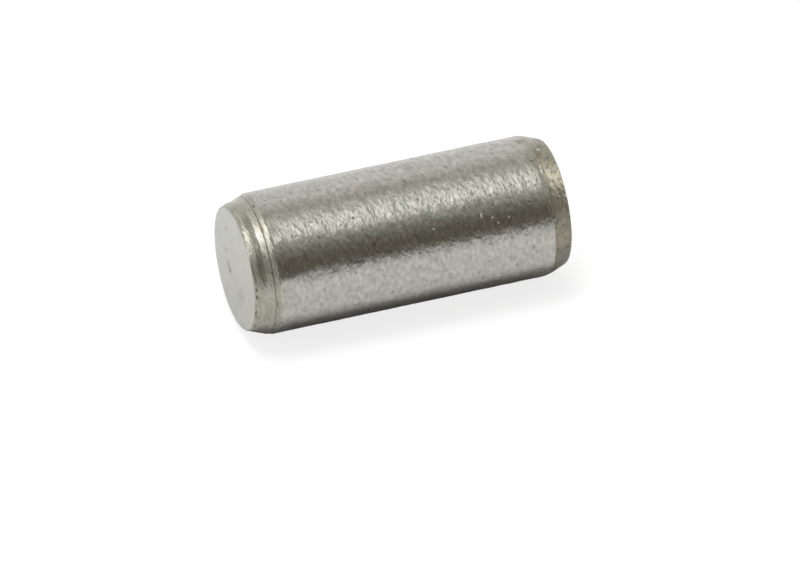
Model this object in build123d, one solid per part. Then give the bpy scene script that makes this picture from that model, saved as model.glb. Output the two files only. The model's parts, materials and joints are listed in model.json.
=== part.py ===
from build123d import *

import os
from math import radians, tan

# Dowel pin: a hardened steel pin, turned and ground from one bar.
#
# Millimetres. The pin stands on its foot end: the axis is Z, and the origin is
# the centre of the foot's flat face. The top is the lead end, which goes into
# the hole first.

# Ground shank
pin_diameter = 6.0
pin_length = 14.0

# Lead end: a turned cone, a fine groove where the tool ran out, and a narrow
# shoulder band of gentler slope that leads up to the ground diameter
lead_cone_length = 0.79
lead_cone_angle = 20.5
groove_width = 0.07
groove_depth = 0.03
shoulder_length = 0.18
shoulder_angle = 16.0
lead_edge_radius = 0.07

# Foot end: a plain chamfer that is tumbled soft where it meets the shank
foot_chamfer_length = 0.83
foot_chamfer_angle = 21.5
foot_blend_radius = 1.5
foot_edge_radius = 0.1

# Radii and heights along the half outline, from the foot's face to the lead face
pin_radius = pin_diameter / 2
foot_face_radius = pin_radius - foot_chamfer_length * tan(radians(foot_chamfer_angle))
groove_lip_radius = pin_radius - shoulder_length * tan(radians(shoulder_angle))
lead_face_radius = groove_lip_radius - lead_cone_length * tan(radians(lead_cone_angle))

cone_base_height = pin_length - lead_cone_length
groove_base_height = cone_base_height - groove_width
shoulder_base_height = groove_base_height - shoulder_length

foot_centre = (0, 0)
foot_rim = (foot_face_radius, 0)
foot_corner = (pin_radius, foot_chamfer_length)
shoulder_corner = (pin_radius, shoulder_base_height)
groove_low_lip = (groove_lip_radius, groove_base_height)
groove_bottom = (groove_lip_radius - groove_depth, groove_base_height + groove_width / 2)
groove_high_lip = (groove_lip_radius, cone_base_height)
lead_rim = (lead_face_radius, pin_length)
lead_centre = (0, pin_length)


def corner_at(outline, point):
    """The outline's corner at a point given as (radius, height)."""
    place = Vector(point[0], point[1])
    return outline.vertices().sort_by_distance(place)[0]


def make_half_outline():
    """Half of the pin's section, from the axis outwards: X is the radius and Y the height."""
    with BuildSketch() as outline:
        with BuildLine():
            Polyline(lead_centre, foot_centre, foot_rim, foot_corner, shoulder_corner, groove_low_lip)
            ThreePointArc(groove_low_lip, groove_bottom, groove_high_lip)
            Polyline(groove_high_lip, lead_rim, lead_centre)
        make_face()
        fillet(corner_at(outline, foot_corner), foot_blend_radius)
        fillet(corner_at(outline, foot_rim), foot_edge_radius)
        fillet(corner_at(outline, lead_rim), lead_edge_radius)
    return outline.sketch


def make_dowel_pin():
    """The pin: its half outline turned once about the axis."""
    half_outline = Plane.XZ * make_half_outline()
    return revolve(half_outline, axis=Axis.Z, revolution_arc=360)


dowel_pin = make_dowel_pin()
dowel_pin.label = "dowel_pin"

os.makedirs("parts", exist_ok=True)
export_step(dowel_pin, os.path.join("parts", "dowel_pin.step"))
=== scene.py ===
import json
import math

import bpy
from mathutils import Matrix, Vector, noise


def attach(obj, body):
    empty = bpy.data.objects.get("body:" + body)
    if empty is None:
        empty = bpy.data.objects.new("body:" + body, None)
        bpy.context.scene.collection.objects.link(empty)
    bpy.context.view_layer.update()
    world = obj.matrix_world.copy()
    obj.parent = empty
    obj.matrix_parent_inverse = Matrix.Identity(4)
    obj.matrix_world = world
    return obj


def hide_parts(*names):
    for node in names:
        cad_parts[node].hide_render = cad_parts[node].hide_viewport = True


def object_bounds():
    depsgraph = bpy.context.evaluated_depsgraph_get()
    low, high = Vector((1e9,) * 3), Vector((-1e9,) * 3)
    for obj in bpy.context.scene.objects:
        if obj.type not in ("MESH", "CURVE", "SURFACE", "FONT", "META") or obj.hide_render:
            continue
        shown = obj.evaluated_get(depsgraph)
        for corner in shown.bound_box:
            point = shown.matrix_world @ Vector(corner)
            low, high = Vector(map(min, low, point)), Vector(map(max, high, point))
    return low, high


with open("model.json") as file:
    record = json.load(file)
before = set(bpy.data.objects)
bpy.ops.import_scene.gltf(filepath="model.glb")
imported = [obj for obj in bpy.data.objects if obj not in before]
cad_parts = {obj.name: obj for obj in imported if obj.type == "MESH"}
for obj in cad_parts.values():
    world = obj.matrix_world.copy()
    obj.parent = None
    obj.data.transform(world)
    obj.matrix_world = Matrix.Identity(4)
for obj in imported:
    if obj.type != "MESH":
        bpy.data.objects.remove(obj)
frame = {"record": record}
cad_low, cad_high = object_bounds()

# Sizes of the pin, from the frame. Lengths are in metres, and MM turns millimetres into them.
MM = 0.001
shank_mount = next(mount for mount in frame["record"]["mounts"] if mount["name"] == "shank")
pin_radius = shank_mount["dims"]["r_mm"] * MM
pin_length = cad_high.z - cad_low.z

# Sizes of the two ends, as the part's source has them
LEAD_CONE_LENGTH = 0.79 * MM
LEAD_CONE_ANGLE = math.radians(20.5)
GROOVE_WIDTH = 0.07 * MM
GROOVE_DEPTH = 0.03 * MM
SHOULDER_LENGTH = 0.18 * MM
SHOULDER_ANGLE = math.radians(16.0)
LEAD_EDGE_RADIUS = 0.07 * MM
FOOT_CHAMFER_LENGTH = 0.83 * MM
FOOT_CHAMFER_ANGLE = math.radians(21.5)
FOOT_BLEND_RADIUS = 1.5 * MM
FOOT_EDGE_RADIUS = 0.1 * MM

# Mesh density: sides round the pin, and steps along each stretch of its outline. A ring on a flat
# face has fewer sides where they would be shorter than a share of the face's step.
SEGMENTS = 384
FEWEST_SEGMENTS = 6
SHORTEST_SIDE_SHARE = 0.55
FACE_STEP = 0.09 * MM
CONE_STEP = 0.024 * MM
SHOULDER_STEP = 0.032 * MM
SHANK_STEP = 0.1 * MM
FOOT_STEP = 0.045 * MM
ARC_STEPS = 6
GROOVE_WALL_STEPS = 3

# The photograph's frame, the pin's place and scale in it, and a long lens, in pixels
PHOTO_WIDTH = 800
PHOTO_HEIGHT = 572
PIN_CENTRE_PX = Vector((393.03, 234.94))
PIXELS_PER_MM = 23.92
FOCAL_PX = 24000.0

# The camera's sensor, and its clipping planes as shares of its distance from the pin
SENSOR_WIDTH_MM = 36.0
CLIP_START_SHARE = 0.1
CLIP_END_SHARE = 4.0

# How the pin lies in the photograph: its axis rises to the right, and its lead end is nearer
AXIS_TURN = math.radians(-12.0)
AXIS_TILT = math.radians(15.2)

# Up in the photograph, in the pin's own frame: the angle round the pin's axis from the side
# that faces the camera
FLOOR_UP_ANGLE = math.radians(-51.7)


def around(angle):
    """Direction square to the pin's axis. Angle 0 faces the camera, and it grows downwards in the
    picture."""
    return Vector((-math.sin(angle), -math.cos(angle), 0))


def smooth_step(low, high, value):
    """0 below low, 1 above high, and smooth between."""
    share = min(max((value - low) / (high - low), 0.0), 1.0)
    return share * share * (3 - 2 * share)


def tangent_length(corner_angle, radius):
    """How far from a corner a rounding of this radius begins."""
    return radius / math.tan(corner_angle / 2)


def rounding(before, corner, after, radius, steps):
    """Points of an arc that rounds a corner of an outline, with both tangent points."""
    to_before = (before - corner).normalized()
    to_after = (after - corner).normalized()
    corner_angle = to_before.angle(to_after)
    first = corner + to_before * tangent_length(corner_angle, radius)
    last = corner + to_after * tangent_length(corner_angle, radius)
    middle = (to_before + to_after).normalized()
    centre = corner + middle * radius / math.sin(corner_angle / 2)
    turn = (first - centre).angle_signed(last - centre)
    arc = []
    for step in range(steps + 1):
        swing = Matrix.Rotation(-turn * step / steps, 2)
        arc.append(centre + swing @ (first - centre))
    return arc


def straight(start, end, step):
    """Points along a line, about one step apart, with both its ends."""
    count = max(1, round((end - start).length / step))
    return [start.lerp(end, index / count) for index in range(count + 1)]


def half_outline():
    """Half of the pin's section as stretches of points (radius, height), from the lead face to the
    foot face."""
    groove_lip = pin_radius - SHOULDER_LENGTH * math.tan(SHOULDER_ANGLE)
    lead_face_radius = groove_lip - LEAD_CONE_LENGTH * math.tan(LEAD_CONE_ANGLE)
    foot_face_radius = pin_radius - FOOT_CHAMFER_LENGTH * math.tan(FOOT_CHAMFER_ANGLE)
    cone_base = pin_length - LEAD_CONE_LENGTH
    groove_base = cone_base - GROOVE_WIDTH
    shoulder_base = groove_base - SHOULDER_LENGTH

    lead_centre = Vector((0, pin_length))
    lead_rim = Vector((lead_face_radius, pin_length))
    groove_high_lip = Vector((groove_lip, cone_base))
    groove_bottom = Vector((groove_lip - GROOVE_DEPTH, (cone_base + groove_base) / 2))
    groove_low_lip = Vector((groove_lip, groove_base))
    shoulder_corner = Vector((pin_radius, shoulder_base))
    foot_corner = Vector((pin_radius, FOOT_CHAMFER_LENGTH))
    foot_rim = Vector((foot_face_radius, 0))
    foot_centre = Vector((0, 0))

    lead_edge = rounding(lead_centre, lead_rim, groove_high_lip, LEAD_EDGE_RADIUS, ARC_STEPS)
    foot_blend = rounding(shoulder_corner, foot_corner, foot_rim, FOOT_BLEND_RADIUS, 2 * ARC_STEPS)
    foot_edge = rounding(foot_corner, foot_rim, foot_centre, FOOT_EDGE_RADIUS, ARC_STEPS)
    groove_step = (groove_bottom - groove_high_lip).length / GROOVE_WALL_STEPS
    return [
        ("lead_face", straight(lead_centre, lead_edge[0], FACE_STEP)),
        ("lead_edge", lead_edge),
        ("lead_cone", straight(lead_edge[-1], groove_high_lip, CONE_STEP)),
        ("groove", straight(groove_high_lip, groove_bottom, groove_step)),
        ("groove", straight(groove_bottom, groove_low_lip, groove_step)),
        ("shoulder", straight(groove_low_lip, shoulder_corner, SHOULDER_STEP)),
        ("shank", straight(shoulder_corner, foot_blend[0], SHANK_STEP)),
        ("shank", foot_blend[:ARC_STEPS + 1]),
        ("foot_chamfer", foot_blend[ARC_STEPS:]),
        ("foot_chamfer", straight(foot_blend[-1], foot_edge[0], FOOT_STEP)),
        ("foot_chamfer", foot_edge),
        ("foot_face", straight(foot_edge[-1], foot_centre, FACE_STEP)),
    ]


def stations():
    """The outline's rings in order, each as (zone, point, outward normal), without the two centres."""
    rings = []
    for zone, points in half_outline():
        for first, second in zip(points, points[1:]):
            along = (second - first).normalized()
            rings.append((zone, first, Vector((-along.y, along.x))))
    lead_to_foot = rings[1:]
    smooth = []
    for index, (zone, point, normal) in enumerate(lead_to_foot):
        earlier = lead_to_foot[max(index - 1, 0)][2]
        smooth.append((zone, point, (normal + earlier).normalized()))
    return smooth


def skin_radius(height):
    """The pin's radius at a height above the foot face."""
    return min(stations(), key=lambda station: abs(station[1].y - height))[1].x


def ripple(point, size_around, size_along):
    """Smooth noise from -1 to 1 on the pin, in patches of about these two sizes."""
    place = Vector((point.x / size_around, point.y / size_around, point.z / size_along))
    return noise.noise(place)


# How far the lead end lies inside its true form on the side of the photograph's top, as (depth
# below the lead face, sink). It leaves a narrow land beside the face, then a band that runs more
# nearly along the pin, then a wider land that comes back to the true form just past the shoulder.
CONE_SINK = (
    (0.00 * MM, 0.022 * MM),
    (0.10 * MM, 0.023 * MM),
    (0.22 * MM, 0.015 * MM),
    (0.30 * MM, 0.020 * MM),
    (0.53 * MM, 0.069 * MM),
    (0.83 * MM, 0.047 * MM),
    (0.95 * MM, 0.020 * MM),
    (1.04 * MM, 0.005 * MM),
    (1.12 * MM, 0.000 * MM),
)

# Where that sink is round the pin: its middle, how far to each side it is whole, and how far out it
# has died out
SINK_MIDDLE_ANGLE = math.radians(-65)
SINK_FULL_ANGLE = math.radians(65)
SINK_END_ANGLE = math.radians(105)


def sink_share(angle):
    """How much of the sink there is at this angle round the pin, from 0 to 1."""
    nearness = math.cos(angle - SINK_MIDDLE_ANGLE)
    return smooth_step(math.cos(SINK_END_ANGLE), math.cos(SINK_FULL_ANGLE), nearness)


def cone_sink(depth, angle):
    """How far the lead end lies inside its true form at a depth below the lead face."""
    for (depth_before, before), (depth_after, after) in zip(CONE_SINK, CONE_SINK[1:]):
        if depth <= depth_after:
            share = max(depth - depth_before, 0.0) / (depth_after - depth_before)
            return (before + (after - before) * share) * sink_share(angle)
    return 0.0


# Relief of the metal, as waves of (height, size round the pin, size along it)
FACE_WAVES = (
    (0.0020 * MM, 1.40 * MM, 1.40 * MM),
)
LEAD_WAVES = (
    (0.0030 * MM, 0.50 * MM, 0.16 * MM),
)
SHANK_WAVES = (
    (0.0035 * MM, 1.50 * MM, 1.10 * MM),
    (0.0080 * MM, 0.55 * MM, 0.30 * MM),
)
FOOT_WAVES = (
    (0.0040 * MM, 0.90 * MM, 0.50 * MM),
    (0.0020 * MM, 0.35 * MM, 0.20 * MM),
)
ZONE_WAVES = {
    "lead_face": FACE_WAVES,
    "lead_edge": LEAD_WAVES,
    "lead_cone": LEAD_WAVES,
    "groove": LEAD_WAVES,
    "shoulder": LEAD_WAVES,
    "shank": SHANK_WAVES,
    "foot_chamfer": FOOT_WAVES,
    "foot_face": FACE_WAVES,
}

# The fine rings that turning leaves on the lead end, and the patches in which they show
TURNED_ZONES = ("lead_edge", "lead_cone", "groove", "shoulder")
TURNING_HEIGHT = 0.001 * MM
TURNING_LENGTH = 0.016 * MM
TURNING_PATCH_AROUND = 0.9 * MM
TURNING_PATCH_ALONG = 0.3 * MM


def turning_rings(point):
    """The relief of the turned rings, deeper in some patches than in others."""
    depth = pin_length - point.z
    patches = ripple(point, TURNING_PATCH_AROUND, TURNING_PATCH_ALONG)
    return TURNING_HEIGHT * math.sin(depth / TURNING_LENGTH) * patches


def relief(zone, point):
    """How far the metal stands out of its true form at a point of a zone."""
    height = 0.0
    for wave_height, size_around, size_along in ZONE_WAVES[zone]:
        height += wave_height * ripple(point, size_around, size_along)
    if zone in TURNED_ZONES:
        height += turning_rings(point)
    return height


def ring_segments(radius, step):
    """How many sides a face's ring has: as many as the shank's, halved while they are too short."""
    count = SEGMENTS
    while count > FEWEST_SEGMENTS and 2 * math.pi * radius / count < SHORTEST_SIDE_SHARE * step:
        count //= 2
    return count


def stitch(outer, inner):
    """Faces between two rings of vertex numbers. Inner has as many as outer, or half as many."""
    faces = []
    ratio = len(outer) // len(inner)
    for index in range(len(inner)):
        following = (index + 1) % len(inner)
        if ratio == 1:
            faces.append((outer[index], inner[index], inner[following], outer[following]))
        else:
            left = outer[2 * index]
            middle = outer[2 * index + 1]
            right = outer[(2 * index + 2) % len(outer)]
            faces.append((left, inner[index], middle))
            faces.append((middle, inner[index], inner[following]))
            faces.append((middle, inner[following], right))
    return faces


def fan(centre, ring):
    """Triangles between a ring of vertex numbers and the vertex at its centre."""
    return [(centre, earlier, later) for earlier, later in zip(ring, ring[1:] + ring[:1])]


def flipped(faces):
    """The same faces, looking the other way."""
    return [tuple(reversed(face)) for face in faces]


def make_pin_mesh():
    """The pin's skin with the metal's relief, in rings from one face's centre to the other's."""
    vertices = [Vector((0, 0, pin_length))]
    rings = []
    for zone, place, normal in stations():
        count = SEGMENTS
        if zone in ("lead_face", "foot_face"):
            count = ring_segments(place.x, FACE_STEP)
        ring = []
        for index in range(count):
            angle = 2 * math.pi * index / count
            outward = around(angle)
            radius = place.x
            if zone != "lead_face":
                radius -= cone_sink(pin_length - place.y, angle)
            point = outward * radius + Vector((0, 0, place.y))
            push = outward * normal.x + Vector((0, 0, normal.y))
            ring.append(len(vertices))
            vertices.append(point + push * relief(zone, point))
        rings.append((zone, ring))
    lead_centre = 0
    foot_centre = len(vertices)
    vertices.append(Vector((0, 0, 0)))

    faces = []
    zones = []

    def keep(new_faces, zone):
        faces.extend(new_faces)
        zones.extend([zone] * len(new_faces))

    first_ring = rings[0][1]
    last_ring = rings[-1][1]
    keep(fan(lead_centre, first_ring), "lead_face")
    for (zone, ring), (_, following) in zip(rings, rings[1:]):
        if len(ring) >= len(following):
            keep(stitch(ring, following), zone)
        else:
            keep(flipped(stitch(following, ring)), zone)
    keep(flipped(fan(foot_centre, last_ring)), "foot_face")
    return vertices, faces, zones


def new_material(name):
    """A material and its node tree, still without nodes."""
    material = bpy.data.materials.new(name)
    material.use_nodes = True
    material.node_tree.nodes.clear()
    return material, material.node_tree


def connect(tree, socket, value):
    """Links another node's output to a socket, or sets the socket to a plain value."""
    if isinstance(value, bpy.types.NodeSocket):
        tree.links.new(value, socket)
    else:
        socket.default_value = value


def add(tree, kind, settings=None, **inputs):
    """A new node with its settings and its inputs, each a plain value or another node's output."""
    node = tree.nodes.new("ShaderNode" + kind)
    for name, value in (settings or {}).items():
        setattr(node, name, value)
    for name, value in inputs.items():
        connect(tree, node.inputs[name.replace("_", " ")], value)
    return node


def compute(tree, operation, *values):
    """A Math node's result."""
    node = add(tree, "Math", {"operation": operation})
    for index, value in enumerate(values):
        connect(tree, node.inputs[index], value)
    return node.outputs[0]


def compute_vector(tree, operation, *values):
    """A Vector Math node's result."""
    node = add(tree, "VectorMath", {"operation": operation})
    for index, value in enumerate(values):
        connect(tree, node.inputs[index], value)
    return node.outputs["Value" if operation == "LENGTH" else "Vector"]


def fade(tree, value, start, end):
    """0 at the start, 1 at the end, and smooth between. The end may be the lower."""
    settings = {"interpolation_type": "SMOOTHSTEP"}
    node = add(tree, "MapRange", settings, Value=value, From_Min=start, From_Max=end)
    return node.outputs["Result"]


def ramp(tree, value, stops):
    """A colour ramp through stops of (position, colour), in order."""
    node = add(tree, "ValToRGB", Fac=value)
    elements = node.color_ramp.elements
    elements[0].position = stops[0][0]
    elements[0].color = (*stops[0][1], 1)
    elements[1].position = stops[-1][0]
    elements[1].color = (*stops[-1][1], 1)
    for position, colour in stops[1:-1]:
        elements.new(position).color = (*colour, 1)
    return node.outputs["Color"]


def mix_colour(tree, factor, first, second):
    """The first colour where the factor is 0, and the second where it is 1."""
    node = add(tree, "MixRGB")
    for socket, value in zip(node.inputs, (factor, first, second)):
        connect(tree, socket, (*value, 1) if isinstance(value, tuple) else value)
    return node.outputs[0]


def mix_value(tree, factor, first, second):
    """The first number where the factor is 0, and the second where it is 1."""
    difference = compute(tree, "SUBTRACT", second, first)
    return compute(tree, "MULTIPLY_ADD", factor, difference, first)


def mix_shader(tree, factor, first, second):
    """The first shader where the factor is 0, and the second where it is 1."""
    node = add(tree, "MixShader", Fac=factor)
    tree.links.new(first.outputs[0], node.inputs[1])
    tree.links.new(second.outputs[0], node.inputs[2])
    return node


def place_in_mm(tree):
    """The place on the object, in millimetres."""
    place = add(tree, "TexCoord").outputs["Object"]
    return compute_vector(tree, "MULTIPLY", place, (1 / MM, 1 / MM, 1 / MM))


def angle_round(tree, separated):
    """The angle of a separated place or direction round the pin's axis, with 0 towards the camera."""
    away_x = compute(tree, "MULTIPLY", separated.outputs["X"], -1.0)
    away_y = compute(tree, "MULTIPLY", separated.outputs["Y"], -1.0)
    return compute(tree, "ARCTAN2", away_x, away_y)


# The grinding marks run round the pin and climb a little: millimetres along for each millimetre round
GRIND_CLIMB = 0.13


def climbing_place(tree):
    """The place on the pin in millimetres, skewed so that the grain climbs as the grinding does."""
    place = add(tree, "SeparateXYZ", Vector=place_in_mm(tree))
    angle = angle_round(tree, place)
    climb = compute(tree, "MULTIPLY_ADD", angle, GRIND_CLIMB * pin_radius / MM, place.outputs["Z"])
    return add(tree, "CombineXYZ", X=place.outputs["X"], Y=place.outputs["Y"], Z=climb).outputs[0]


def grains(tree, place, size_around, size_along, detail, seed):
    """Noise from 0 to 1 in grains of about these sizes in millimetres."""
    scales = (1 / size_around, 1 / size_around, 1 / size_along)
    scaled = compute_vector(tree, "MULTIPLY", place, scales)
    settings = {"noise_dimensions": "4D"}
    node = add(tree, "TexNoise", settings, Vector=scaled, W=seed, Scale=1.0, Detail=detail)
    return node.outputs["Fac"]


# What marks on the metal look like: colour, how much it covers, roughness, height in millimetres.
# The glints are painted highlights, the bright and dull marks painted light and painted shade on
# wider areas, and one smudge is painted shade. Cream makes a wider area warmer.
MARK_LOOKS = {
    "pit": ((0.10, 0.09, 0.07), 0.75, 0.45, -0.008),
    "dent": ((0.26, 0.25, 0.22), 0.55, 0.40, -0.004),
    "stain": ((0.15, 0.06, 0.04), 0.70, 0.35, 0.0),
    "painted_glint": ((0.97, 0.95, 0.90), 1.00, 0.80, 0.0),
    "smudge_and_painted_shade": ((0.36, 0.33, 0.29), 0.38, 0.36, 0.0),
    "tarnish": ((0.40, 0.38, 0.30), 0.45, 0.24, 0.0),
    "painted_shade": ((0.22, 0.21, 0.17), 0.62, 0.30, 0.0),
    "painted_light": ((0.60, 0.58, 0.52), 0.70, 0.20, 0.0),
    "cream": ((0.70, 0.68, 0.58), 0.60, 0.28, 0.0),
}

# Marks round the pin that the photograph shows: kind, angle in degrees, depth below the lead face,
# and half sizes round and along the pin, in millimetres
SHANK_MARKS = (
    ("stain", 4.5, 5.31, 0.18, 0.11),
    ("pit", -37.5, 12.90, 0.11, 0.09),
    ("pit", -20.0, 4.71, 0.08, 0.07),
    ("pit", -37.5, 3.12, 0.08, 0.07),
    ("dent", 64.5, 12.48, 0.22, 0.15),
    ("dent", 35.0, 12.18, 0.17, 0.09),
    ("dent", 40.0, 12.30, 0.10, 0.07),
    ("smudge_and_painted_shade", -61.0, 7.84, 0.42, 0.30),
    # Painted shade: this smudge dims the highlight just past the shoulder
    ("smudge_and_painted_shade", -24.0, 1.22, 0.45, 0.17),
    ("dent", -65.0, 12.81, 0.34, 0.19),
    ("tarnish", -48.0, 13.30, 3.00, 0.80),
    ("tarnish", -60.0, 13.30, 2.40, 0.45),
    # Painted highlights: pale specks where the dark band glints
    ("painted_glint", -0.6, 10.08, 0.09, 0.04),
    ("painted_glint", 3.0, 10.53, 0.06, 0.04),
    ("painted_glint", 8.0, 10.77, 0.06, 0.04),
    ("painted_glint", 5.0, 11.25, 0.07, 0.04),
    ("painted_glint", 2.0, 7.95, 0.06, 0.04),
)
LEAD_MARKS = (
    # Painted shade dims the rim's highlight, and painted light lightens wider bands of the lead end
    ("painted_shade", -26.0, 0.01, 0.70, 0.07),
    ("painted_shade", 4.0, 0.01, 0.60, 0.07),
    ("painted_light", -28.0, 0.47, 1.15, 0.34),
    ("painted_light", -80.0, 0.62, 1.30, 0.75),
    ("painted_light", 27.0, 0.60, 0.55, 0.45),
    ("painted_light", 80.0, 0.45, 0.90, 0.70),
    # Painted highlights: a thin pale streak by the face and a pale speck
    ("painted_glint", -10.0, 0.11, 0.035, 0.14),
    ("painted_glint", -9.5, 1.00, 0.05, 0.06),
    ("pit", -54.5, 0.90, 0.13, 0.08),
    ("pit", 24.0, 0.09, 0.13, 0.05),
    ("pit", 31.0, 0.06, 0.14, 0.05),
    ("dent", 40.0, 0.05, 0.20, 0.05),
    ("pit", 48.0, 0.03, 0.18, 0.05),
    ("dent", 70.0, 0.12, 0.24, 0.16),
    ("dent", 69.0, 0.57, 0.26, 0.12),
    ("pit", 38.0, 0.87, 0.10, 0.05),
    ("dent", 2.0, 0.36, 0.45, 0.13),
)
FOOT_MARKS = (
    # Painted light near the top of the chamfer and painted shade lower down
    ("painted_light", -78.0, 13.20, 2.20, 0.62),
    ("painted_shade", 56.0, 13.60, 1.15, 0.90),
    ("pit", 46.5, 13.77, 0.05, 0.16),
    ("dent", 33.0, 13.59, 0.06, 0.12),
    # Painted highlights on the chamfer
    ("painted_glint", -19.5, 13.68, 0.09, 0.09),
    ("painted_glint", -14.5, 13.35, 0.06, 0.06),
    ("painted_glint", -2.5, 13.92, 0.06, 0.04),
    ("painted_glint", -50.5, 13.38, 0.05, 0.10),
    ("pit", -45.0, 13.38, 0.05, 0.08),
)

# Marks on the lead face: kind, place towards the camera and downwards, and the half sizes that way,
# in millimetres
FACE_MARKS = (
    ("dent", -0.78, 0.05, 0.30, 0.15),
    ("smudge_and_painted_shade", -0.83, -0.14, 0.36, 0.42),
    ("smudge_and_painted_shade", 0.18, 1.17, 0.75, 0.48),
    ("smudge_and_painted_shade", 1.24, 1.50, 0.36, 0.12),
    ("smudge_and_painted_shade", -0.03, -1.68, 0.28, 0.16),
    ("cream", 2.20, 1.90, 3.00, 3.60),
)

# A mark's outline is uneven by this much, in waves of this many to a millimetre. Its mask reaches
# this deep into the metal, and it is whole out to this share of its half size.
MARK_WOBBLE_MM = 0.14
MARK_WOBBLE_SCALE = 7.0
MARK_REACH_MM = 0.5
MARK_CORE_SHARE = 0.35


def spot(tree, place, centre, turn, sizes):
    """1 on a mark of these half sizes, and 0 off it."""
    local = add(
        tree, "Mapping", {"vector_type": "TEXTURE"},
        Vector=place, Location=centre, Rotation=(0, 0, turn), Scale=sizes)
    distance = compute_vector(tree, "LENGTH", local.outputs[0])
    return fade(tree, distance, 1.0, MARK_CORE_SHARE)


def wobbly_place(tree):
    """The place in millimetres, shaken a little so that a mark's outline is uneven."""
    place = place_in_mm(tree)
    shake = add(tree, "TexNoise", Vector=place, Scale=MARK_WOBBLE_SCALE, Detail=1.0)
    centred = compute_vector(tree, "SUBTRACT", shake.outputs["Color"], (0.5, 0.5, 0.5))
    scaled = compute_vector(tree, "MULTIPLY", centred, (MARK_WOBBLE_MM, MARK_WOBBLE_MM, MARK_WOBBLE_MM))
    return compute_vector(tree, "ADD", place, scaled)


def marks_round(tree, marks):
    """The marks round the pin, each as (kind, mask)."""
    place = wobbly_place(tree)
    spots = []
    for kind, degrees, depth, size_around, size_along in marks:
        angle = math.radians(degrees)
        height = pin_length - depth * MM
        centre = (around(angle) * skin_radius(height) + Vector((0, 0, height))) / MM
        turn = -angle - math.pi / 2
        spots.append((kind, spot(tree, place, centre, turn, (MARK_REACH_MM, size_around, size_along))))
    return spots


def marks_on_face(tree, marks):
    """The marks on the lead face, each as (kind, mask)."""
    place = wobbly_place(tree)
    spots = []
    for kind, towards, down, size_towards, size_down in marks:
        centre = around(0) * towards + around(math.pi / 2) * down + Vector((0, 0, pin_length / MM))
        spots.append((kind, spot(tree, place, centre, 0.0, (size_down, size_towards, MARK_REACH_MM))))
    return spots


# Layers of noise on the metal: grain sizes round and along as shares of the steel's own, detail
# and seed
GRAIN_LAYERS = {
    "fine": (1.0, 1.0, 1.0, 0.0),
    "coarse": (3.6, 3.3, 2.0, 3.0),
    "shading": (1.5, 1.45, 1.0, 5.0),
    "pits": (1.1, 1.3, 0.5, 11.0),
    "flecks": (0.8, 0.9, 0.5, 17.0),
    "matt": (1.1, 0.8, 1.0, 23.0),
}

# Soft patches of the steel's two tints, in millimetres, and the noise at which each tint is whole
PATCH_AROUND_MM = 0.8
PATCH_ALONG_MM = 0.55
PATCH_DEEP = 0.35
PATCH_PALE = 0.65

# How the layers show: heights as shares of the grain's height, the width of a pit's and a fleck's
# edge in the noise, how much they cover, and the noise between which matt spots grow
COARSE_HEIGHT = 2.1
PIT_HEIGHT = -0.3
PIT_EDGE = 0.08
PIT_SHARE = 0.34
FLECK_EDGE = 0.03
FLECK_SHARE = 0.4
FLECK_ROUGHNESS = 0.5
MATT_START = 0.42
MATT_FULL = 0.60


def grain_layer(tree, place, grain, layer):
    """One layer of noise on a steel of this grain."""
    share_around, share_along, detail, seed = GRAIN_LAYERS[layer]
    return grains(tree, place, share_around * grain[0], share_along * grain[1], detail, seed)


def make_steel(name, pale, deep, roughness, matt_share, grain, grain_height, shade, pits, flecks, spots):
    """Bare steel: grain as bump, shade and roughness, two tints in soft patches, soft dark pits, pale
    flecks in the painted glints' colour that paint small highlights, and single marks, some of them
    painted light and shade. Pits and flecks are given as the noise above which they show, so a higher
    value leaves fewer."""
    material, tree = new_material(name)
    place = climbing_place(tree)
    fine = grain_layer(tree, place, grain, "fine")
    coarse = grain_layer(tree, place, grain, "coarse")
    shading = grain_layer(tree, place, grain, "shading")
    patches = grains(tree, place, PATCH_AROUND_MM, PATCH_ALONG_MM, detail=2.0, seed=7.0)
    pit = fade(tree, grain_layer(tree, place, grain, "pits"), pits, pits + PIT_EDGE)
    fleck = fade(tree, grain_layer(tree, place, grain, "flecks"), flecks, flecks + FLECK_EDGE)
    matt = fade(tree, grain_layer(tree, place, grain, "matt"), MATT_START, MATT_FULL)

    height = compute(tree, "MULTIPLY", fine, grain_height)
    height = compute(tree, "MULTIPLY_ADD", coarse, COARSE_HEIGHT * grain_height, height)
    height = compute(tree, "MULTIPLY_ADD", pit, PIT_HEIGHT * grain_height, height)
    colour = ramp(tree, patches, ((PATCH_DEEP, deep), (PATCH_PALE, pale)))
    brightness = compute(tree, "MULTIPLY_ADD", shading, shade, 1 - shade / 2)
    colour = compute_vector(tree, "MULTIPLY", colour, brightness)
    colour = mix_colour(tree, compute(tree, "MULTIPLY", pit, PIT_SHARE), colour, MARK_LOOKS["pit"][0])
    # The pale flecks are small painted highlights, in the colour of the painted glints
    colour = mix_colour(tree, compute(tree, "MULTIPLY", fleck, FLECK_SHARE), colour, MARK_LOOKS["painted_glint"][0])
    rough = compute(tree, "MULTIPLY_ADD", matt, matt_share, roughness)
    rough = mix_value(tree, fleck, rough, FLECK_ROUGHNESS)
    for kind, mask in spots(tree):
        mark_colour, share, mark_roughness, mark_height = MARK_LOOKS[kind]
        covered = compute(tree, "MULTIPLY", mask, share)
        colour = mix_colour(tree, covered, colour, mark_colour)
        rough = mix_value(tree, mask, rough, mark_roughness)
        height = compute(tree, "MULTIPLY_ADD", mask, mark_height, height)

    normal = add(tree, "Bump", Strength=1.0, Distance=MM, Height=height).outputs["Normal"]
    shader = add(tree, "BsdfPrincipled", Base_Color=colour, Metallic=1.0, Roughness=rough, Normal=normal)
    add(tree, "OutputMaterial", Surface=shader.outputs[0])
    return material


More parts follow.
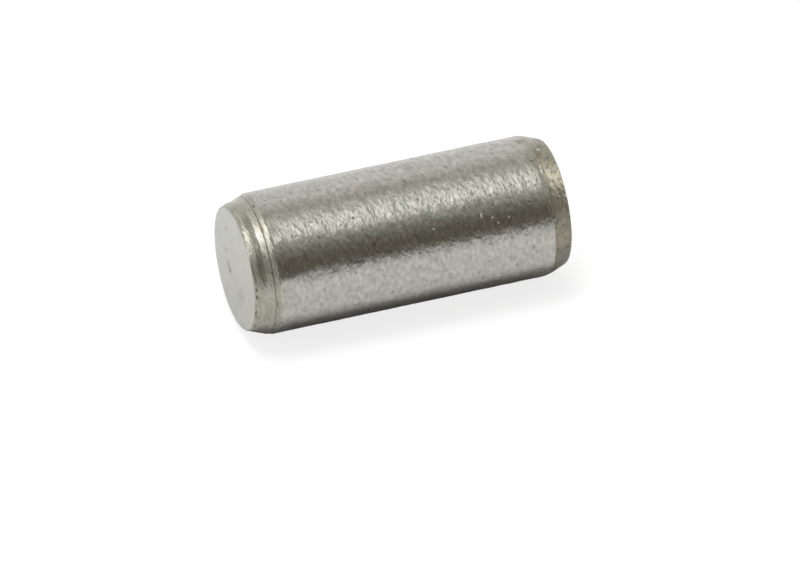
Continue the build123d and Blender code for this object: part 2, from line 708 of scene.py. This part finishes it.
def make_ground_steel():
    return make_steel(
        "ground_steel", pale=(0.635, 0.605, 0.565), deep=(0.585, 0.585, 0.525), roughness=0.18,
        matt_share=0.05, grain=(0.20, 0.12), grain_height=0.0125, shade=0.84, pits=0.65, flecks=0.80,
        spots=lambda tree: marks_round(tree, SHANK_MARKS))


def make_turned_steel():
    return make_steel(
        "turned_steel", pale=(0.53, 0.51, 0.43), deep=(0.46, 0.455, 0.375), roughness=0.20,
        matt_share=0.12, grain=(0.32, 0.08), grain_height=0.013, shade=0.60, pits=0.62, flecks=0.77,
        spots=lambda tree: marks_round(tree, LEAD_MARKS))


# Darker than the turned steel beside it: painted shade in the groove
def make_groove_steel():
    return make_steel(
        "painted_shade_groove_steel", pale=(0.45, 0.43, 0.355), deep=(0.39, 0.38, 0.31), roughness=0.34,
        matt_share=0.05, grain=(0.14, 0.07), grain_height=0.006, shade=0.50, pits=0.62, flecks=0.80,
        spots=lambda tree: marks_round(tree, ()))


def make_foot_steel():
    return make_steel(
        "foot_steel", pale=(0.39, 0.36, 0.285), deep=(0.33, 0.315, 0.245), roughness=0.27,
        matt_share=0.12, grain=(0.22, 0.15), grain_height=0.020, shade=0.60, pits=0.62, flecks=0.72,
        spots=lambda tree: marks_round(tree, FOOT_MARKS))


def make_faced_steel():
    return make_steel(
        "faced_steel", pale=(0.665, 0.66, 0.615), deep=(0.625, 0.62, 0.575), roughness=0.30,
        matt_share=0.0, grain=(0.30, 0.30), grain_height=0.003, shade=0.12, pits=0.75, flecks=0.90,
        spots=lambda tree: marks_on_face(tree, FACE_MARKS))


ZONE_STEELS = {
    "lead_face": make_faced_steel,
    "lead_edge": make_turned_steel,
    "lead_cone": make_turned_steel,
    "groove": make_groove_steel,
    "shoulder": make_turned_steel,
    "shank": make_ground_steel,
    "foot_chamfer": make_foot_steel,
    "foot_face": make_faced_steel,
}


def make_pin():
    """The pin's detailed skin, which stands for the solid."""
    vertices, faces, zones = make_pin_mesh()
    mesh = bpy.data.meshes.new("dowel_pin_skin")
    mesh.from_pydata(vertices, [], faces)
    makers = list(dict.fromkeys(ZONE_STEELS.values()))
    for make_material in makers:
        mesh.materials.append(make_material())
    for polygon, zone in zip(mesh.polygons, zones):
        polygon.material_index = makers.index(ZONE_STEELS[zone])
    mesh.shade_smooth()
    mesh.update()
    pin = bpy.data.objects.new("dowel_pin_skin", mesh)
    bpy.context.scene.collection.objects.link(pin)
    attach(pin, "root")
    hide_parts("dowel_pin")


# Light of the studio by the angle round the pin's axis, in degrees, with 0 towards the camera: the
# level light that the shank mirrors, a long lamp within it, what the lead cone mirrors, and what
# the foot chamfer mirrors
LEVEL_LIGHT = (
    (-180, (1.10, 1.10, 1.10)),
    (-160, (1.10, 1.10, 1.10)),
    (-150, (0.97, 0.97, 0.97)),
    (-139, (0.73, 0.73, 0.73)),
    (-112, (0.76, 0.76, 0.75)),
    (-98, (0.66, 0.66, 0.63)),
    (-82, (0.45, 0.45, 0.42)),
    (-50, (0.42, 0.43, 0.40)),
    (-30, (0.42, 0.43, 0.40)),
    (-18, (0.37, 0.38, 0.35)),
    (-8, (0.22, 0.22, 0.19)),
    (6, (0.135, 0.122, 0.098)),
    (22, (0.115, 0.102, 0.078)),
    (31, (0.15, 0.145, 0.13)),
    (39, (0.56, 0.56, 0.55)),
    (60, (0.64, 0.64, 0.64)),
    (180, (1.10, 1.10, 1.10)),
)
LAMP_LIGHT = (
    (-180, (0.00, 0.00, 0.00)),
    (-76, (0.00, 0.00, 0.00)),
    (-63, (0.36, 0.36, 0.35)),
    (-56, (0.75, 0.75, 0.73)),
    (-46, (0.99, 0.99, 0.96)),
    (-34, (1.15, 1.15, 1.12)),
    (-28, (0.55, 0.55, 0.53)),
    (-22, (0.00, 0.00, 0.00)),
    (180, (0.00, 0.00, 0.00)),
)
LEAD_LIGHT = (
    (-180, (1.04, 1.04, 1.04)),
    (-138, (0.76, 0.76, 0.76)),
    (-110, (0.74, 0.74, 0.73)),
    (-84, (0.97, 0.97, 0.97)),
    (-66, (1.50, 1.51, 1.54)),
    (-52, (2.42, 2.42, 2.42)),
    (-42, (1.90, 1.91, 2.00)),
    (-22, (0.85, 0.85, 0.86)),
    (-4, (0.36, 0.36, 0.34)),
    (16, (0.32, 0.32, 0.30)),
    (34, (0.60, 0.60, 0.58)),
    (60, (0.50, 0.50, 0.50)),
    (180, (1.04, 1.04, 1.04)),
)
FOOT_LIGHT = (
    (-180, (1.04, 1.04, 1.04)),
    (-130, (1.00, 1.00, 1.00)),
    (-96, (0.60, 0.60, 0.59)),
    (-80, (1.10, 1.10, 1.08)),
    (-60, (2.50, 2.50, 2.46)),
    (-42, (1.50, 1.50, 1.48)),
    (-22, (0.52, 0.52, 0.50)),
    (6, (0.26, 0.26, 0.24)),
    (36, (0.38, 0.38, 0.36)),
    (60, (0.50, 0.50, 0.50)),
    (180, (1.04, 1.04, 1.04)),
)

# The ramps hold shares of this strength, since a ramp's colours end at 1
STUDIO_STRENGTH = 2.5

# Heights along the pin of a direction of length 1: the long lamp's middle, how far from there it is
# whole and reaches, and where the lead's and the foot's light take over from the level light
LAMP_MIDDLE = -0.20
LAMP_FULL = 0.03
LAMP_REACH = 0.13
LEAD_LIGHT_START = 0.26
LEAD_LIGHT_FULL = 0.38
FOOT_LIGHT_START = -0.56
FOOT_LIGHT_FULL = -0.68


def studio_ramp(tree, turn, light):
    """One row of the studio's light. Turn goes from 0 to 1 round the pin's axis."""
    stops = []
    for degrees, colour in light:
        stops.append(((degrees + 180) / 360, tuple(value / STUDIO_STRENGTH for value in colour)))
    return ramp(tree, turn, stops)


def make_world():
    """White where the camera looks past the pin. The pin itself sees the studio: pale behind, grey
    above with a long lamp, and dark in front."""
    world = bpy.data.worlds.new("studio")
    bpy.context.scene.world = world
    world.use_nodes = True
    tree = world.node_tree
    tree.nodes.clear()
    direction = add(tree, "SeparateXYZ", Vector=add(tree, "TexCoord").outputs["Generated"])
    turn = compute(tree, "MULTIPLY_ADD", angle_round(tree, direction), 0.5 / math.pi, 0.5)
    off_lamp = compute(tree, "ABSOLUTE", compute(tree, "SUBTRACT", direction.outputs["Z"], LAMP_MIDDLE))
    lamp_share = fade(tree, off_lamp, LAMP_REACH, LAMP_FULL)
    lamp = compute_vector(tree, "MULTIPLY", studio_ramp(tree, turn, LAMP_LIGHT), lamp_share)
    level = compute_vector(tree, "ADD", studio_ramp(tree, turn, LEVEL_LIGHT), lamp)
    towards_lead = fade(tree, direction.outputs["Z"], LEAD_LIGHT_START, LEAD_LIGHT_FULL)
    towards_foot = fade(tree, direction.outputs["Z"], FOOT_LIGHT_START, FOOT_LIGHT_FULL)
    colour = mix_colour(tree, towards_lead, level, studio_ramp(tree, turn, LEAD_LIGHT))
    colour = mix_colour(tree, towards_foot, colour, studio_ramp(tree, turn, FOOT_LIGHT))
    studio = add(tree, "Background", Color=colour, Strength=STUDIO_STRENGTH)
    white = add(tree, "Background", Color=(1, 1, 1, 1), Strength=1.0)
    camera = add(tree, "LightPath").outputs["Is Camera Ray"]
    add(tree, "OutputWorld", Surface=mix_shader(tree, camera, studio, white).outputs[0])


# The overhead lamp: how wide it looks from the floor, and how far it leans towards the lead end
OVERHEAD_SPREAD = math.radians(26)
OVERHEAD_LEAN = math.radians(9)


def make_overhead_lamp():
    """Broad light for the floor, from above and from the left in the photograph. The metal doesn't
    mirror it."""
    towards = around(FLOOR_UP_ANGLE) * math.cos(OVERHEAD_LEAN) + Vector((0, 0, math.sin(OVERHEAD_LEAN)))
    data = bpy.data.lights.new("overhead", "SUN")
    # At this strength the lamp alone gives a matt floor its own colour
    data.energy = math.pi / math.cos(OVERHEAD_LEAN)
    data.angle = OVERHEAD_SPREAD
    lamp = bpy.data.objects.new("overhead", data)
    lamp.rotation_mode = "QUATERNION"
    lamp.rotation_quaternion = towards.to_track_quat("Z", "Y")
    lamp.visible_glossy = False
    bpy.context.scene.collection.objects.link(lamp)


# The floor's half size and its gap below the pin. To the camera it glows, and a small matt share takes
# the shadow. In the metal it is matt, with one share near the pin, one far from it and one behind it:
# painted light that darkens the floor away from the pin and lightens it behind.
FLOOR_HALF_SIZE = 0.6
FLOOR_GAP = 0.012 * MM
FLOOR_GLOW_SEEN = 0.81
FLOOR_SHARE_SEEN = 0.14
FLOOR_SHARE_NEAR = 0.41
FLOOR_SHARE_FAR = 0.33
FLOOR_SHARE_BEHIND = 0.455
FLOOR_NEAR_MM = 10.0
FLOOR_FAR_MM = 70.0
FLOOR_BEHIND_START_MM = 2.0
FLOOR_BEHIND_FULL_MM = 8.0


def make_floor():
    """The photograph's pale floor. The pin lies on it in the picture, so here it stands upright
    beside the pin."""
    up = around(FLOOR_UP_ANGLE)
    side = Vector((0, 0, 1))
    ahead = up.cross(side)
    middle = up * -(pin_radius + FLOOR_GAP) + Vector((0, 0, pin_length / 2))
    corners = []
    for x, y in ((-1, -1), (1, -1), (1, 1), (-1, 1)):
        corners.append(middle + side * (x * FLOOR_HALF_SIZE) + ahead * (y * FLOOR_HALF_SIZE))
    mesh = bpy.data.meshes.new("floor")
    mesh.from_pydata(corners, [], [(0, 1, 2, 3)])
    mesh.update()
    if mesh.polygons[0].normal.dot(up) < 0:
        mesh.flip_normals()
    floor = bpy.data.objects.new("floor", mesh)
    bpy.context.scene.collection.objects.link(floor)
    mesh.materials.append(make_floor_material())


def make_floor_material():
    """White to the camera with a faint shadow, and clear to a camera behind it. In the metal it is a
    floor with painted light: darker with distance from the pin and paler behind it."""
    material, tree = new_material("pale_floor")
    path = add(tree, "LightPath")
    camera = path.outputs["Is Camera Ray"]
    glow = compute(tree, "MULTIPLY", camera, FLOOR_GLOW_SEEN)
    place = place_in_mm(tree)
    distance = compute_vector(tree, "LENGTH", place)
    # Painted light: the floor that the metal mirrors darkens away from the pin and is paler behind it
    far = fade(tree, distance, FLOOR_NEAR_MM, FLOOR_FAR_MM)
    mirrored = mix_value(tree, far, FLOOR_SHARE_NEAR, FLOOR_SHARE_FAR)
    place_behind = add(tree, "SeparateXYZ", Vector=place).outputs["Y"]
    behind_pin = fade(tree, place_behind, FLOOR_BEHIND_START_MM, FLOOR_BEHIND_FULL_MM)
    mirrored = mix_value(tree, behind_pin, mirrored, FLOOR_SHARE_BEHIND)
    share = mix_value(tree, camera, mirrored, FLOOR_SHARE_SEEN)
    shade = add(tree, "CombineColor", Red=share, Green=share, Blue=share)
    matt = add(tree, "BsdfDiffuse", Color=shade.outputs[0])
    light = add(tree, "Emission", Color=(1, 1, 1, 1), Strength=glow)
    both = add(tree, "AddShader")
    tree.links.new(matt.outputs[0], both.inputs[0])
    tree.links.new(light.outputs[0], both.inputs[1])
    from_behind = compute(tree, "MULTIPLY", camera, add(tree, "NewGeometry").outputs["Backfacing"])
    came_through = compute(tree, "MAXIMUM", from_behind, path.outputs["Transparent Depth"])
    clear = add(tree, "BsdfTransparent")
    mixed = mix_shader(tree, compute(tree, "MINIMUM", came_through, 1.0), both, clear)
    add(tree, "OutputMaterial", Surface=mixed.outputs[0])
    return material


def make_camera():
    """A long lens, turned so that the upright pin lies in the picture as it does in the photograph."""
    back = Vector((0, -math.cos(AXIS_TILT), math.sin(AXIS_TILT)))
    along = Vector((0, -math.sin(AXIS_TILT), -math.cos(AXIS_TILT)))
    across = Vector((-1, 0, 0))
    picture_right = along * math.cos(AXIS_TURN) - across * math.sin(AXIS_TURN)
    picture_down = along * math.sin(AXIS_TURN) + across * math.cos(AXIS_TURN)

    off_centre = PIN_CENTRE_PX - Vector((PHOTO_WIDTH, PHOTO_HEIGHT)) / 2
    pin_centre = Vector((0, 0, pin_length / 2))
    shift = (picture_right * off_centre.x + picture_down * off_centre.y) * (MM / PIXELS_PER_MM)
    distance = FOCAL_PX / PIXELS_PER_MM * MM

    data = bpy.data.cameras.new("camera")
    data.sensor_width = SENSOR_WIDTH_MM
    data.lens = FOCAL_PX * SENSOR_WIDTH_MM / PHOTO_WIDTH
    data.clip_start = distance * CLIP_START_SHARE
    data.clip_end = distance * CLIP_END_SHARE
    camera = bpy.data.objects.new("camera", data)
    turn = Matrix((picture_right, -picture_down, back)).transposed().to_4x4()
    camera.matrix_world = Matrix.Translation(pin_centre - shift + back * distance) @ turn
    bpy.context.scene.collection.objects.link(camera)
    bpy.context.scene.camera = camera


make_pin()
make_floor()
make_overhead_lamp()
make_world()
make_camera()
bpy.context.scene.view_settings.view_transform = "Standard"
